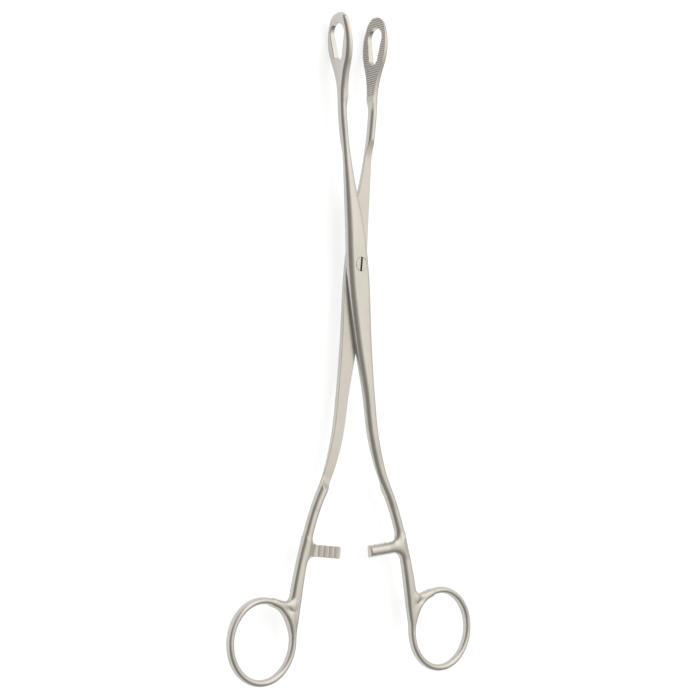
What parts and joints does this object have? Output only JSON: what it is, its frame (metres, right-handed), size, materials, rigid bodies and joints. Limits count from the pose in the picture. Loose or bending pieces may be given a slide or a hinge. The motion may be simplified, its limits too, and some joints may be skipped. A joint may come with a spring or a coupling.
{
  "type": "ring forceps",
  "caption": "Long straight ratchet forceps with open oval serrated jaws, a screw joint and two finger rings, standing slightly open.",
  "frame": {"origin": "on the pivot axis, at the ground flat on the rear of the joint", "axes": "+Y runs from the joint to the jaws, +Z is the pivot axis towards the screw's head, +X is to the right seen from the head's side"},
  "size_m": [0.1226, 0.2475, 0.012],
  "materials": {
    "satin_steel": "satin, jaws and edges brighter",
    "screw_steel": "satin"
  },
  "bodies": {
    "rear": {"rear_half": "satin_steel", "joint_screw": "screw_steel"},
    "front": {"front_half": "satin_steel"}
  },
  "joints": [
    {"name": "forceps_pivot", "type": "hinge", "parent": "rear", "child": "front", "pos_m": [0, 0, 0], "axis": [0, 0, 1], "range_deg": [-11, 30]}
  ]
}
